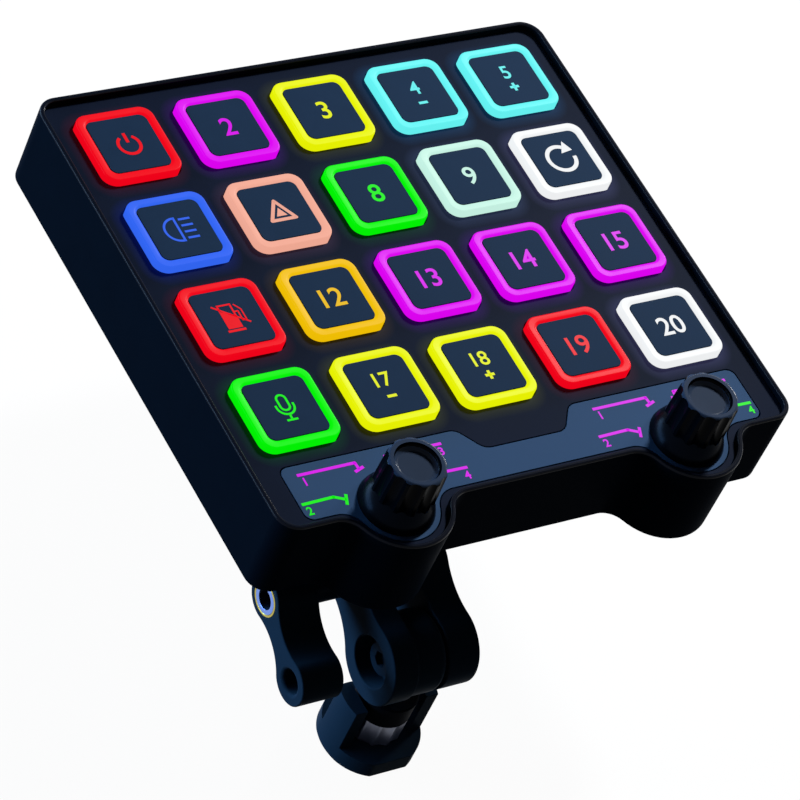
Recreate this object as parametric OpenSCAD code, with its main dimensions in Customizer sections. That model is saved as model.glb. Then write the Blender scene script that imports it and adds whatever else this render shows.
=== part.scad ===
// Button box for a racing simulator: a shallow case with a grid of glowing keys and two
// seven-way knobs, carried by a short tilting arm on a forked swivel base.
// The base stands on Z = 0 at the origin. The case lies above it, face up, with its
// columns along X and its rows along Y.

/* [Button grid] */
// Distance between neighbouring keys
pitch = 30; // [28:0.5:36]
// Width and height of a key cap
cap_size = 23; // [20:0.1:24]
// Corner radius of a key cap
cap_corner = 3.7; // [2.5:0.1:5]
// Rounding of the cap's top edge
cap_edge = 0.7; // [0.4:0.1:1.5]
// Depth of a key cap
cap_depth = 7; // [5:0.5:9]
// Wall of the hollow key cap
cap_wall = 1.6; // [1:0.1:2]
// Height of the caps and of the rim above the faceplate
cap_stand = 1.9; // [1.8:0.1:4]
// Width and height of the legend tile in a cap
tile_size = 18.1; // [14:0.1:18.5]
// Corner radius of the legend tile
tile_corner = 2.2; // [1:0.1:3]
// Thickness of the legend tile
tile_thickness = 1.4; // [0.8:0.1:2]
// Gap between a cap and its hole in the faceplate
cap_gap = 0.35; // [0.3:0.05:0.8]
// How far a key goes down
key_travel = 1.6; // [1:0.1:2]

/* [Case] */
// From the outer key columns to the side walls
side_margin = 19.3; // [17:0.1:30]
// From the top key row to the top wall
top_margin = 19; // [17:0.1:30]
// From the bottom key row to the bottom wall
bottom_margin = 35.7; // [34:0.1:45]
// Depth of the case from rim to back
case_depth = 25.8; // [22.5:0.1:35]
// Corner radius of the case
case_corner = 6; // [4:0.5:12]
// Width of the rim round the faceplate
rim_width = 1.4; // [1:0.1:2]
// Thickness of the case wall behind the faceplate
wall = 2.6; // [2.2:0.1:3.5]
// Thickness of the case wall round the back cover
back_rim = 1.6; // [1.2:0.1:2]
// Thickness of the faceplate
plate_thickness = 2.5; // [2:0.1:3.5]
// Thickness of the back cover
cover_thickness = 2.2; // [2:0.1:3]
// Thickness of the circuit board
board_thickness = 1.6; // [1:0.1:2]
// Gap between the circuit board and the back cover
board_gap = 0.5; // [0.4:0.1:3]
// From the case outline to the edge of the circuit board
board_inset = 4.2; // [3.8:0.1:6]
// Gap between pieces that drop into one another
fit_gap = 0.15; // [0.1:0.05:0.3]

/* [Knobs] */
// Distance between the two knobs
knob_spacing = 90; // [70:1:100]
// Height of the knob centres above the bottom wall line
knob_inset = 2.1; // [0:0.1:5]
// Radius of the case bulge round a knob
bulge_radius = 15; // [13.5:0.1:18]
// Radius of the hollow that leads into a bulge
bulge_fillet = 6.5; // [3:0.5:9]
// Radius of a knob at its foot
knob_radius = 8.4; // [7.8:0.05:9]
// Lean of a knob's side, in degrees
knob_draft = 2; // [0:0.5:3]
// Height of a knob's top above the key tops
knob_height = 14.8; // [13:0.1:22]
// Number of flutes round a knob
knob_flutes = 12; // [8:1:18]
// Depth of a knob's flute
knob_flute_depth = 0.6; // [0.3:0.05:0.9]
// Radius of a knob's flute
knob_flute_radius = 3.5; // [2:0.1:4]
// Radius of the dish in a knob's top
dish_radius = 6.2; // [4:0.1:6.6]
// Depth of the dish in a knob's top, and radius of its hollow side
dish_depth = 1.7; // [0.5:0.1:2]
// Radius of the collar's dome
dome_radius = 10.6; // [10.5:0.1:12]
// Thickness of the collar's dome
dome_wall = 1.9; // [1.7:0.1:2.2]
// Depth of the tilting centre below the faceplate's top
tilt_depth = 2.6; // [1.5:0.1:3]
// How far a knob goes in when it is pressed
push_travel = 0.8; // [0.4:0.1:1.2]
// Radius of a knob's turning shaft
shaft_radius = 1.5; // [1.2:0.1:1.8]

/* [Label panel] */
// Thickness of the label panel
panel_thickness = 1; // [0.6:0.1:1.4]
// Width of the label panel
panel_width = 141.4; // [130:0.2:148]
// Height of the label panel
panel_height = 17; // [14:0.1:18]
// From the bottom wall line to the panel's lower edge
panel_margin = 2.7; // [2.2:0.1:5]
// Depth of the notch in the panel's upper edge
notch_depth = 7.4; // [5:0.1:9]
// Width of the notch at its floor
notch_floor = 24.8; // [15:0.2:28]
// Width of the notch at the panel's upper edge
notch_mouth = 35.2; // [32:0.2:44]
// Corner radius of the notch
notch_corner = 4; // [1:0.1:5]
// Corner radius of the label panel
panel_corner = 2.5; // [1:0.1:4]
// Radius of the panel round a knob
panel_bulge = 11.8; // [10.9:0.1:12]
// Gap round the label panel
panel_gap = 0.25; // [0.1:0.05:0.4]

/* [Mount] */
// Radius of the swivel base
base_radius = 13.5; // [13:0.1:18]
// Thickness of the base disc
base_thickness = 5; // [4.5:0.1:8]
// From the base axis to the flat on its front
base_flat = 12.3; // [10:0.1:12.8]
// Height of the base's two prongs
prong_height = 19.6; // [12:0.1:20]
// Clear width between the prongs
prong_gap = 18; // [17:0.1:20]
// Width over the outer flats of the prongs
prong_span = 25; // [24:0.1:26]
// Width of a prong along Y
prong_width = 9.5; // [6:0.1:10]
// Distance between the two screw holes in the base
base_hole_spacing = 17; // [15:0.1:19]
// Radius of the screw holes in the base, tapped M4
base_hole_radius = 1.65; // [1.25:0.05:1.7]
// Depth of the screw holes in the base
base_hole_depth = 4.2; // [3:0.1:4.4]
// Radius of the hub's threaded stem
stem_radius = 4; // [3.5:0.1:4.5]
// Outer radius of the lock nut
nut_radius = 7.9; // [7:0.1:8.2]
// Height of the lock nut's top above the base face
nut_top = 21; // [19:0.1:22]
// Height of the lock nut's smooth collar
nut_collar = 7; // [4:0.1:9]
// Number of flutes round the lock nut
nut_flutes = 12; // [8:1:14]
// Depth of the lock nut's flutes
nut_flute_depth = 0.7; // [0.3:0.05:1]
// Radius of the lock nut's flutes
nut_flute_radius = 1.4; // [1:0.1:2]
// Height of the lower pivot above the base face
pivot_height = 36.2; // [35:0.1:45]
// Radius of the hub's eye
hub_radius = 11; // [9.5:0.1:11.5]
// Width of the hub's eye
hub_width = 9; // [8.6:0.1:12]
// Rounding of the hub's right edge
hub_edge = 2; // [1:0.1:3]
// Running gap between pieces that turn side by side
side_gap = 0.3; // [0.2:0.05:0.6]
// Running clearance of a shaft in its bore
running_gap = 0.05; // [0.02:0.01:0.1]

/* [Arms] */
// Distance between the two pivots
link_length = 21.7; // [21:0.1:30]
// Angle of the arms above the base plane
link_lean = 24.8; // [10:0.1:40]
// Clear width between the left and the centre arm
arm_spacing = 11.9; // [8:0.1:18]
// Thickness of the left arm
left_thickness = 12.2; // [8:0.1:14]
// Thickness of the centre arm
centre_thickness = 7.4; // [7:0.1:10]
// Thickness of the right arm
right_thickness = 9.4; // [8:0.1:12]
// Radius of the left arm's two ends
left_boss = 6.4; // [6:0.1:7]
// Radius of the centre arm's ring
centre_boss = 11.6; // [10:0.1:12]
// Radius of the right arm's lower end
right_boss = 11; // [10:0.1:12]
// Radius of the upper ends of the centre and right arms
upper_boss = 8.2; // [6.2:0.1:8.6]
// Radius of the hollow sides of the left arm's neck
left_hollow = 14; // [10:0.5:30]
// Radius of the hollow sides of the other two necks
wide_hollow = 20; // [12:0.5:40]
// Radius of the open hole at the left arm's foot, clear for M6
foot_hole = 3.3; // [2.5:0.05:3.4]
// Countersink of the open hole
foot_chamfer = 0.6; // [0.3:0.1:0.9]
// Radius of the lower pivot bolt
bolt_radius = 3.5; // [3:0.1:4]
// Radius of the lower pivot bolt's head
bolt_head = 4.4; // [4.2:0.1:6]
// Height of the lower pivot bolt's head
bolt_head_height = 2.9; // [2.5:0.1:3.5]
// Radius of the counterbore for the bolt's head and nut
counterbore = 7; // [6.4:0.1:8]
// Material left under a counterbore
counterbore_floor = 1.5; // [1.2:0.1:2]
// Radius of the upper pivot shaft
upper_shaft = 4.1; // [3.5:0.1:4.2]
// Wall of the brass bushes on the upper shaft
bush_wall = 0.6; // [0.4:0.1:1]
// From the upper pivot to the back of the case
lug_reach = 13; // [12.5:0.1:20]
// From the case's bottom wall line to the upper pivot
lug_inset = 6.4; // [0:0.1:30]
// From the base axis to the middle of the key grid
case_offset = 32; // [20:1:40]
// Radius of the bracket's lug
lug_radius = 6.5; // [5.5:0.1:7]
// Thickness of the bracket's plate
bracket_plate = 3; // [2.5:0.1:3.5]

/* [Hidden] */
$fn = 96;
columns = 5;
rows = 4;
side_names = ["left", "right"];
button_names = [for (r = [1:rows]) for (c = [1:columns]) str("button_", r, "_", c)];
knob_piece_names = ["tilt_ring_", "rocker_", "plunger_", "knob_shaft_", "knob_"];

// Colours of the glowing caps, row by row from the top
cap_colours = [
    ["red", "magenta", "yellow", "cyan", "cyan"],
    ["royalblue", "lightsalmon", "lime", "aquamarine", "white"],
    ["red", "orange", "magenta", "magenta", "magenta"],
    ["lime", "yellow", "yellow", "red", "white"]
];

// How far a cut runs past the face that it opens
past = 1;
// How far a hollow cuts past the point where it would just touch the form that it leads into
hollow_bite = 0.005;

// The case outline about the middle of the key grid
half_width = (columns - 1) / 2 * pitch + side_margin;
top_line = (rows - 1) / 2 * pitch + top_margin;
bottom_line = -(rows - 1) / 2 * pitch - bottom_margin;
knob_x = knob_spacing / 2;
knob_y = bottom_line + knob_inset;

// Heights below the key tops
plate_top = -cap_stand;
plate_under = plate_top - plate_thickness;
cover_top = -case_depth + cover_thickness;
board_under = cover_top + board_gap;
board_top = board_under + board_thickness;
tilt_z = plate_top - tilt_depth;

// The mount's pivots and the place of the case
upper_y = link_length * cos(link_lean);
upper_z = pivot_height + link_length * sin(link_lean);
back_z = upper_z + lug_reach;
face_z = back_z + case_depth;
grid_y = upper_y - lug_inset - bottom_line;

// Places of the arms along the pivots
hub_side = hub_width / 2;
centre_right = -hub_side - side_gap;
centre_left = centre_right - centre_thickness;
left_right = centre_left - arm_spacing;
left_left = left_right - left_thickness;
right_left = hub_side + side_gap;
right_right = right_left + right_thickness;

// Key switch and cap sizes
stem_r = 2.5;
switch_size = 14;
switch_waist = 12.4;
switch_shoulder = 6;
switch_corner = 0.8;
switch_gap = 0.8;
switch_top = -cap_depth - key_travel - switch_gap;
stem_reach = 3.2;
stem_room = 0.6;
stem_end = switch_top - stem_reach;
bore_end = stem_end - key_travel - stem_room;
cap_roof = 1.6;
tile_gap = 0.1;
tile_floor = tile_thickness + tile_gap;
led_size = [3.2, 2.6, 1.4];
led_y = 8.8;

// Posts under the faceplate, which hold the board and take the cover screws
post_radius = 4.2;
post_neck = 3;
post_spots = [for (x = [-1.5, 1.5]) for (y = [-1, 0, 1]) [x * pitch, y * pitch]];
screw_radius = 1.3;
screw_head = 2.6;
screw_head_height = 1.3;
screw_length = 9;
screw_end_gap = 1;
screw_socket = 1.2;
screw_socket_depth = 0.8;

// Socket in the lower pivot and bore in the upper one
bolt_socket = 2.2;
bolt_socket_depth = 1.8;
shaft_bore = 2.8;
shaft_bore_depth = 8;

// Knob mechanism, measured from the tilting centre
pin_radius = 0.9;
ring_inner = 5.2;
ring_outer = 6.6;
ring_height = 2.4;
rocker_radius = 4.3;
rocker_height = 6;
plunger_radius = 2.6;
flange_radius = 3.6;
flange_height = 1.2;
push_gap = 0.4;
spring_room = push_travel + push_gap;
plunger_foot = 1;
plunger_low = -rocker_height / 2 - plunger_foot;
post_inner = 7;
post_outer = 8.3;
post_wide = 3.6;
post_over_pin = 0.7;
encoder_size = 15;
encoder_room = 7.2;
foot_ring = 2.2;
foot_ring_height = 0.5;
knob_hole = 9.6;
collar_skirt = 0.8;
collar_gap = 0.1;
collar_mouth = 4;
knob_clear = 0.3;
under_radius = dome_radius + push_travel + knob_clear;
knob_rim = sqrt(under_radius * under_radius - knob_radius * knob_radius);
knob_top = knob_height - tilt_z;
knob_edge = 1;
knob_top_radius = knob_radius - (knob_top - knob_edge - knob_rim) * tan(knob_draft);
shaft_cover = 3.2;
shaft_end_gap = 0.2;
shaft_top = knob_top - shaft_cover;

// The bracket behind the case
bracket_width = 34;
bracket_below = 6;
bracket_above = 32;
bracket_corner = 4;
bracket_screw_x = 12;
bracket_screw_ys = [14, 27];
bracket_screw_head = 2.9;
bracket_screw_head_height = 2;
bracket_screw_socket = 1.5;
bracket_screw_socket_depth = 1.2;

// The socket in the top wall
usb_width = 8.94;
usb_height = 3.26;
usb_length = 7.6;
usb_skin = 0.3;
usb_setback = 0.6;
usb_back = 1;
usb_tongue = [6.7, 5, 0.7];
usb_gap = 0.2;
usb_z = board_top + usb_height / 2;

module at_face() {
    translate([case_offset, grid_y, face_z]) children();
}

module at_knob(side) {
    at_face() translate([(2 * side - 1) * knob_x, knob_y, tilt_z]) children();
}

module each_key() {
    for (r = [1:rows]) {
        for (c = [1:columns]) {
            key_place(r, c) children();
        }
    }
}

module key_place(r, c) {
    translate([(c - (columns + 1) / 2) * pitch, ((rows + 1) / 2 - r) * pitch, 0]) children();
}

module rounded_rect(x0, x1, y0, y1, r) {
    translate([x0 + r, y0]) square([x1 - x0 - 2 * r, y1 - y0]);
    translate([x0, y0 + r]) square([x1 - x0, y1 - y0 - 2 * r]);
    for (x = [x0 + r, x1 - r]) {
        for (y = [y0 + r, y1 - r]) {
            translate([x, y]) circle(r);
        }
    }
}

module rounded_square(size, r) {
    rounded_rect(-size / 2, size / 2, -size / 2, size / 2, r);
}

// A block whose top face lies at Z = 0, with quarter-round top edges
module soft_top_block(size, corner, edge, height) {
    straight = size - 2 * corner;
    translate([0, 0, -height]) linear_extrude(height - edge) rounded_square(size, corner);
    translate([0, 0, -edge]) linear_extrude(edge) rounded_square(size - 2 * edge, corner - edge);
    for (turn = [0:90:270]) {
        rotate(turn) {
            translate([size / 2 - corner, size / 2 - corner, -edge])
                rotate_extrude(angle = 90)
                    translate([corner - edge, 0]) quarter_round(edge);
            translate([size / 2 - edge, straight / 2, -edge])
                rotate([90, 0, 0]) linear_extrude(straight) quarter_round(edge);
        }
    }
}

module quarter_round(r) {
    intersection() {
        circle(r);
        square(r);
    }
}

// A round bulge on the line y = base, about a knob, with hollows that lead into it
module knob_bulge(base, radius, fillet, inset) {
    fillet_y = base - fillet - knob_y;
    fillet_x = sqrt(pow(radius + fillet, 2) - fillet_y * fillet_y);
    touch_y = fillet_y * (radius - inset) / (radius + fillet);
    circle(radius - inset);
    difference() {
        translate([-fillet_x, touch_y])
            square([2 * fillet_x, fillet_y + fillet + inset + past - touch_y]);
        for (way = [-1, 1]) {
            translate([way * fillet_x, fillet_y]) circle(fillet + inset + hollow_bite);
        }
    }
}

module both_knobs() {
    for (way = [-1, 1]) {
        translate([way * knob_x, knob_y]) children();
    }
}

module case_outline(inset) {
    rounded_rect(
        -half_width + inset, half_width - inset, bottom_line + inset, top_line - inset,
        case_corner - inset
    );
    both_knobs() knob_bulge(bottom_line, bulge_radius, bulge_fillet, inset);
}

module case_slab(inset, low, high) {
    translate([0, 0, low]) linear_extrude(high - low) case_outline(inset);
}

// The label panel's outline, drawn in by inset
module panel_outline(inset) {
    low = bottom_line + panel_margin;
    high = low + panel_height;
    difference() {
        rounded_rect(
            -panel_width / 2 + inset, panel_width / 2 - inset, low + inset, high - inset,
            panel_corner
        );
        translate([0, high]) panel_notch(inset);
    }
    both_knobs() knob_bulge(low, panel_bulge, bulge_fillet, inset);
}

// The notch below the panel's upper edge at y = 0: its floor and sides run into round corners
module panel_notch(inset) {
    slope = atan2(notch_depth, (notch_mouth - notch_floor) / 2);
    set_back = notch_corner * tan(slope / 2);
    floor_at = [notch_floor / 2 - set_back, notch_corner - notch_depth];
    mouth_at = [notch_mouth / 2 + set_back, -notch_corner];
    square_to = [sin(slope), -cos(slope)];
    side_low = floor_at + (notch_corner + inset) * square_to;
    side_high = mouth_at - (notch_corner - inset) * square_to;
    difference() {
        union() {
            polygon([
                [-floor_at[0], -notch_depth - inset], [floor_at[0], -notch_depth - inset],
                side_low, side_high, [mouth_at[0], -inset], [mouth_at[0], past],
                [-mouth_at[0], past], [-mouth_at[0], -inset],
                [-side_high[0], side_high[1]], [-side_low[0], side_low[1]]
            ]);
            for (way = [-1, 1]) {
                translate([way * floor_at[0], floor_at[1]]) circle(notch_corner + inset);
            }
        }
        for (way = [-1, 1]) {
            translate([way * mouth_at[0], mouth_at[1]]) circle(notch_corner - inset);
        }
    }
}

// A plain slot outline with round ends
module slot(width, height) {
    r = height / 2;
    square([width - height, height], center = true);
    for (way = [-1, 1]) {
        translate([way * (width / 2 - r), 0]) circle(r);
    }
}

// A six-sided socket let down from Z = 0 into the piece above it
module hex_socket(r, depth) {
    translate([0, 0, -past]) cylinder(h = depth + past, r = r, $fn = 6);
}

// Two round ends joined by a neck with hollow sides that run tangent into them
module waisted_link(low_r, high_r, hollow) {
    low_reach = low_r + hollow;
    high_reach = high_r + hollow;
    along = (link_length * link_length + low_reach * low_reach - high_reach * high_reach)
        / (2 * link_length);
    across = sqrt(low_reach * low_reach - along * along);
    circle(low_r);
    translate([link_length, 0]) circle(high_r);
    difference() {
        polygon([[0, 0], [along, -across], [link_length, 0], [along, across]]);
        for (way = [-1, 1]) {
            translate([along, way * across]) circle(hollow + hollow_bite);
        }
    }
}

// Children are drawn in the plane of the arms and pulled along the pivots from x0 to x1
module along_pivot(x0, x1) {
    translate([x0, 0, pivot_height])
        rotate([link_lean, 0, 0])
            rotate([90, 0, 90])
                linear_extrude(x1 - x0) children();
}

// A cylinder on the lower or the upper pivot, from x0 to x1
module pivot_rod(at_upper, x0, x1, r) {
    translate([x0, at_upper ? upper_y : 0, at_upper ? upper_z : pivot_height])
        rotate([0, 90, 0]) cylinder(h = x1 - x0, r = r);
}

module base_yoke() {
    color("dimgray") difference() {
        union() {
            intersection() {
                cylinder(h = base_thickness, r = base_radius);
                translate([-prong_span / 2, -base_flat, 0])
                    cube([prong_span, base_flat + base_radius, base_thickness]);
            }
            intersection() {
                cylinder(h = prong_height, r = base_radius);
                for (way = [-1, 1]) {
                    translate([way * (prong_gap + prong_span) / 4, 0, prong_height / 2])
                        cube([(prong_span - prong_gap) / 2, prong_width, prong_height], center = true);
                }
            }
        }
        translate([0, 0, base_thickness / 3])
            cylinder(h = base_thickness, r = stem_radius + running_gap);
        for (way = [-1, 1]) {
            translate([way * base_hole_spacing / 2, 0, -past])
                cylinder(h = base_hole_depth + past, r = base_hole_radius);
        }
    }
}

module lock_nut() {
    low = base_thickness + side_gap;
    color("dimgray") difference() {
        translate([0, 0, low]) cylinder(h = nut_top - low, r = nut_radius);
        translate([0, 0, low - past]) cylinder(h = nut_top, r = stem_radius + running_gap);
        for (i = [0:nut_flutes - 1]) {
            rotate((i + 0.5) * 360 / nut_flutes)
                translate([nut_radius + nut_flute_radius - nut_flute_depth, 0, low - past])
                    cylinder(h = nut_top - nut_collar - low + past, r = nut_flute_radius);
        }
    }
}

module eye_hub() {
    stem_low = base_thickness / 3 + side_gap;
    color("dimgray") difference() {
        union() {
            translate([-hub_side, 0, pivot_height]) rotate([0, 90, 0]) rotate_extrude() {
                square([hub_radius, hub_width - hub_edge]);
                square([hub_radius - hub_edge, hub_width]);
                translate([hub_radius - hub_edge, hub_width - hub_edge]) circle(hub_edge);
            }
            translate([0, 0, stem_low]) cylinder(h = pivot_height - stem_low, r = stem_radius);
        }
        pivot_rod(false, -hub_side - past, hub_side + past, bolt_radius + running_gap);
    }
}

module left_arm() {
    color("dimgray") difference() {
        along_pivot(left_left, left_right) waisted_link(left_boss, left_boss, left_hollow);
        pivot_rod(false, left_left - past, left_right + past, foot_hole);
        for (end = [0, 1]) {
            translate([end ? left_right : left_left, 0, pivot_height])
                rotate([0, end ? -90 : 90, 0])
                    cylinder(h = foot_chamfer, r1 = foot_hole + foot_chamfer, r2 = foot_hole);
        }
        bush_bore(left_left, left_right);
    }
}

module bush_bore(x0, x1) {
    pivot_rod(true, x0 - past, x1 + past, upper_shaft + bush_wall + 2 * running_gap);
}

module centre_arm() {
    color("dimgray") difference() {
        along_pivot(centre_left, centre_right) waisted_link(centre_boss, upper_boss, wide_hollow);
        pivot_rod(false, centre_left - past, centre_right + past, bolt_radius + running_gap);
        pivot_rod(false, centre_left - past, centre_right - counterbore_floor, counterbore);
        bush_bore(centre_left, centre_right);
    }
}

module right_arm() {
    color("dimgray") difference() {
        along_pivot(right_left, right_right) waisted_link(right_boss, upper_boss, wide_hollow);
        pivot_rod(false, right_left - past, right_right + past, bolt_radius + running_gap);
        pivot_rod(false, right_left + counterbore_floor, right_right + past, counterbore);
        bush_bore(right_left, right_right);
    }
}

module lower_pivot_bolt() {
    head_right = centre_right - counterbore_floor;
    head_left = head_right - bolt_head_height;
    color("silver") difference() {
        union() {
            pivot_rod(false, head_left, head_right, bolt_head);
            pivot_rod(false, head_right, nut_right(), bolt_radius);
        }
        translate([head_left, 0, pivot_height])
            rotate([0, 90, 0]) hex_socket(bolt_socket, bolt_socket_depth);
    }
}

function nut_right() = right_left + counterbore_floor + bolt_head_height;

module lower_pivot_nut() {
    nut_left = right_left + counterbore_floor;
    across_corners = (bolt_radius + bolt_head_height / 2) * 2 / sqrt(3);
    color("silver") difference() {
        translate([nut_left, 0, pivot_height])
            rotate([0, 90, 0]) cylinder(h = nut_right() - nut_left, r = across_corners, $fn = 6);
        pivot_rod(false, nut_left - past, nut_right() + past, bolt_radius + running_gap);
    }
}

module upper_pivot_shaft() {
    color("silver") difference() {
        pivot_rod(true, left_left, right_right, upper_shaft);
        pivot_rod(true, left_left - past, left_left + shaft_bore_depth, shaft_bore);
    }
}

module arm_bushes() {
    spans = [[left_left, left_right], [centre_left, centre_right], [right_left, right_right]];
    color("goldenrod") for (span = spans) {
        difference() {
            pivot_rod(true, span[0], span[1], upper_shaft + bush_wall + running_gap);
            pivot_rod(true, span[0] - past, span[1] + past, upper_shaft + running_gap);
        }
    }
}

module housing() {
    color("darkslategray") at_face() difference() {
        case_slab(0, -case_depth, 0);
        case_slab(rim_width, plate_under, past);
        case_slab(wall, cover_top - past, plate_under + past);
        case_slab(back_rim, -case_depth - past, cover_top);
        translate([0, top_line + past, usb_z])
            rotate([90, 0, 0])
                linear_extrude(wall + 2 * past) slot(usb_width + 2 * usb_gap, usb_height + 2 * usb_gap);
    }
}

module back_cover() {
    color("darkslategray") at_face() difference() {
        case_slab(back_rim + fit_gap, -case_depth, cover_top);
        for (spot = post_spots) {
            translate([spot[0], spot[1], -case_depth - past]) {
                cylinder(h = cover_thickness + 2 * past, r = screw_radius + fit_gap);
                cylinder(h = screw_head_height + past, r = screw_head + fit_gap);
            }
        }
        translate([-case_offset, -grid_y, -face_z]) each_bracket_screw()
            translate([0, 0, -past]) cylinder(h = cover_thickness + 2 * past, r = screw_radius + fit_gap);
    }
}

module each_bracket_screw() {
    for (way = [-1, 1]) {
        for (y = bracket_screw_ys) {
            translate([way * bracket_screw_x, upper_y + y, back_z]) children();
        }
    }
}

module faceplate() {
    hole = cap_size + 2 * cap_gap;
    color("#1c2430") at_face() {
        difference() {
            case_slab(rim_width + fit_gap, plate_under, plate_top);
            each_key() translate([0, 0, plate_under - past])
                linear_extrude(plate_thickness + 2 * past) rounded_square(hole, cap_corner + cap_gap);
            both_knobs() translate([0, 0, plate_under - past])
                cylinder(h = plate_thickness + 2 * past, r = knob_hole);
            translate([0, 0, plate_top - panel_thickness])
                linear_extrude(panel_thickness + past) panel_outline(0);
        }
        for (spot = post_spots) {
            translate([spot[0], spot[1], 0]) difference() {
                union() {
                    translate([0, 0, board_top])
                        cylinder(h = plate_under - board_top, r = post_radius);
                    translate([0, 0, cover_top])
                        cylinder(h = board_top - cover_top, r = post_neck);
                }
                translate([0, 0, cover_top - past])
                    cylinder(h = screw_length + past, r = screw_radius + running_gap);
            }
        }
    }
}

module label_panel() {
    color("#2d3a50") at_face() difference() {
        translate([0, 0, plate_top - panel_thickness])
            linear_extrude(panel_thickness) panel_outline(panel_gap);
        both_knobs() translate([0, 0, plate_top - panel_thickness - past])
            cylinder(h = panel_thickness + 2 * past, r = knob_hole);
    }
}

module circuit_board() {
    color("darkgreen") at_face() difference() {
        case_slab(board_inset, board_under, board_top);
        for (spot = post_spots) {
            translate([spot[0], spot[1], board_under - past])
                cylinder(h = board_thickness + 2 * past, r = post_neck + fit_gap);
        }
    }
}

module key_switches() {
    color("black") at_face() each_key() difference() {
        union() {
            translate([0, 0, board_top])
                linear_extrude(switch_shoulder) rounded_square(switch_size, switch_corner);
            translate([0, 0, board_top])
                linear_extrude(switch_top - board_top) rounded_square(switch_waist, switch_corner);
        }
        translate([0, 0, bore_end]) cylinder(h = switch_top - bore_end + past, r = stem_r + running_gap);
    }
}

module backlight_leds() {
    color("white") at_face() each_key()
        translate([-led_size[0] / 2, led_y - led_size[1] / 2, board_top]) cube(led_size);
}

module cover_screws() {
    color("silver") at_face() for (spot = post_spots) {
        translate([spot[0], spot[1], -case_depth]) difference() {
            union() {
                cylinder(h = screw_head_height, r = screw_head);
                cylinder(h = cover_thickness + screw_length - screw_end_gap, r = screw_radius);
            }
            hex_socket(screw_socket, screw_socket_depth);
        }
    }
}

module back_bracket() {
    plate_low = lug_reach - bracket_plate;
    color("dimgray") translate([0, upper_y, upper_z]) difference() {
        union() {
            translate([0, 0, plate_low]) linear_extrude(bracket_plate)
                rounded_rect(
                    -bracket_width / 2, bracket_width / 2, -bracket_below, bracket_above,
                    bracket_corner
                );
            translate([-hub_side, 0, 0]) rotate([90, 0, 90]) linear_extrude(hub_width) {
                circle(lug_radius);
                polygon([
                    [-lug_radius, 0], [lug_radius, 0],
                    [2 * lug_radius, plate_low], [-bracket_below, plate_low]
                ]);
            }
        }
        translate([-hub_side - past, 0, 0])
            rotate([0, 90, 0]) cylinder(h = hub_width + 2 * past, r = upper_shaft + running_gap);
        translate([0, -upper_y, -upper_z]) each_bracket_screw()
            translate([0, 0, -bracket_plate - past])
                cylinder(h = bracket_plate + 2 * past, r = screw_radius + fit_gap);
    }
}

module bracket_screws() {
    color("silver") each_bracket_screw() difference() {
        union() {
            translate([0, 0, -bracket_plate - bracket_screw_head_height])
                cylinder(h = bracket_screw_head_height, r = bracket_screw_head);
            translate([0, 0, -bracket_plate])
                cylinder(h = bracket_plate + cover_thickness, r = screw_radius);
        }
        translate([0, 0, -bracket_plate - bracket_screw_head_height])
            hex_socket(bracket_screw_socket, bracket_screw_socket_depth);
    }
}

module usb_socket() {
    mouth_y = top_line - usb_setback;
    color("silver") at_face() translate([0, mouth_y, usb_z]) rotate([90, 0, 0]) {
        difference() {
            linear_extrude(usb_length) slot(usb_width, usb_height);
            translate([0, 0, -past])
                linear_extrude(usb_length - usb_back + past)
                    slot(usb_width - 2 * usb_skin, usb_height - 2 * usb_skin);
        }
        translate([-usb_tongue[0] / 2, -usb_tongue[2] / 2, usb_length - usb_back - usb_tongue[1]])
            cube([usb_tongue[0], usb_tongue[2], usb_tongue[1]]);
    }
}

// A fixed block with two ears, which carry the tilting ring on the first diagonal
module encoder_bodies() {
    low = board_top - tilt_z;
    ear_low = -encoder_room - past;
    color("slategray") for (side = [0, 1]) {
        at_knob(side) difference() {
            union() {
                translate([-encoder_size / 2, -encoder_size / 2, low])
                    cube([encoder_size, encoder_size, -encoder_room - low]);
                for (turn = [45, 225]) {
                    rotate(turn) translate([post_inner, -post_wide / 2, ear_low])
                        cube([post_outer - post_inner, post_wide, pin_radius + post_over_pin - ear_low]);
                }
            }
            rotate(45) rotate([0, 90, 0])
                cylinder(h = 4 * post_outer, r = pin_radius + running_gap, center = true);
        }
    }
}

// A dome about the tilting centre, so that the knob's hollow foot passes over it evenly
module knob_collars() {
    color("black") for (side = [0, 1]) {
        at_knob(side) rotate_extrude() {
            difference() {
                circle(dome_radius);
                circle(dome_radius - dome_wall);
                translate([-2 * dome_radius, -2 * dome_radius])
                    square([4 * dome_radius, 2 * dome_radius + tilt_depth]);
                translate([-2 * dome_radius, 0])
                    square([2 * dome_radius + collar_mouth, 2 * dome_radius]);
            }
            translate([knob_hole - collar_gap - collar_skirt, tilt_depth - plate_thickness])
                square([collar_skirt, plate_thickness + 2 * collar_gap]);
        }
    }
}

// Pins stand out along the first diagonal, holes for the rocker lie along the second
module tilt_ring(side) {
    color("slategray") at_knob(side) difference() {
        union() {
            translate([0, 0, -ring_height / 2]) cylinder(h = ring_height, r = ring_outer);
            rotate(45) rotate([0, 90, 0])
                cylinder(h = 2 * post_outer, r = pin_radius, center = true);
        }
        translate([0, 0, -ring_height]) cylinder(h = 2 * ring_height, r = ring_inner);
        rotate(-45) rotate([0, 90, 0])
            cylinder(h = 4 * ring_outer, r = pin_radius + running_gap, center = true);
    }
}

module rocker(side) {
    color("gray") at_knob(side) difference() {
        union() {
            translate([0, 0, -rocker_height / 2]) cylinder(h = rocker_height, r = rocker_radius);
            rotate(-45) rotate([0, 90, 0])
                cylinder(h = 2 * ring_outer, r = pin_radius, center = true);
        }
        translate([0, 0, -rocker_height])
            cylinder(h = 2 * rocker_height, r = plunger_radius + running_gap);
    }
}

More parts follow.
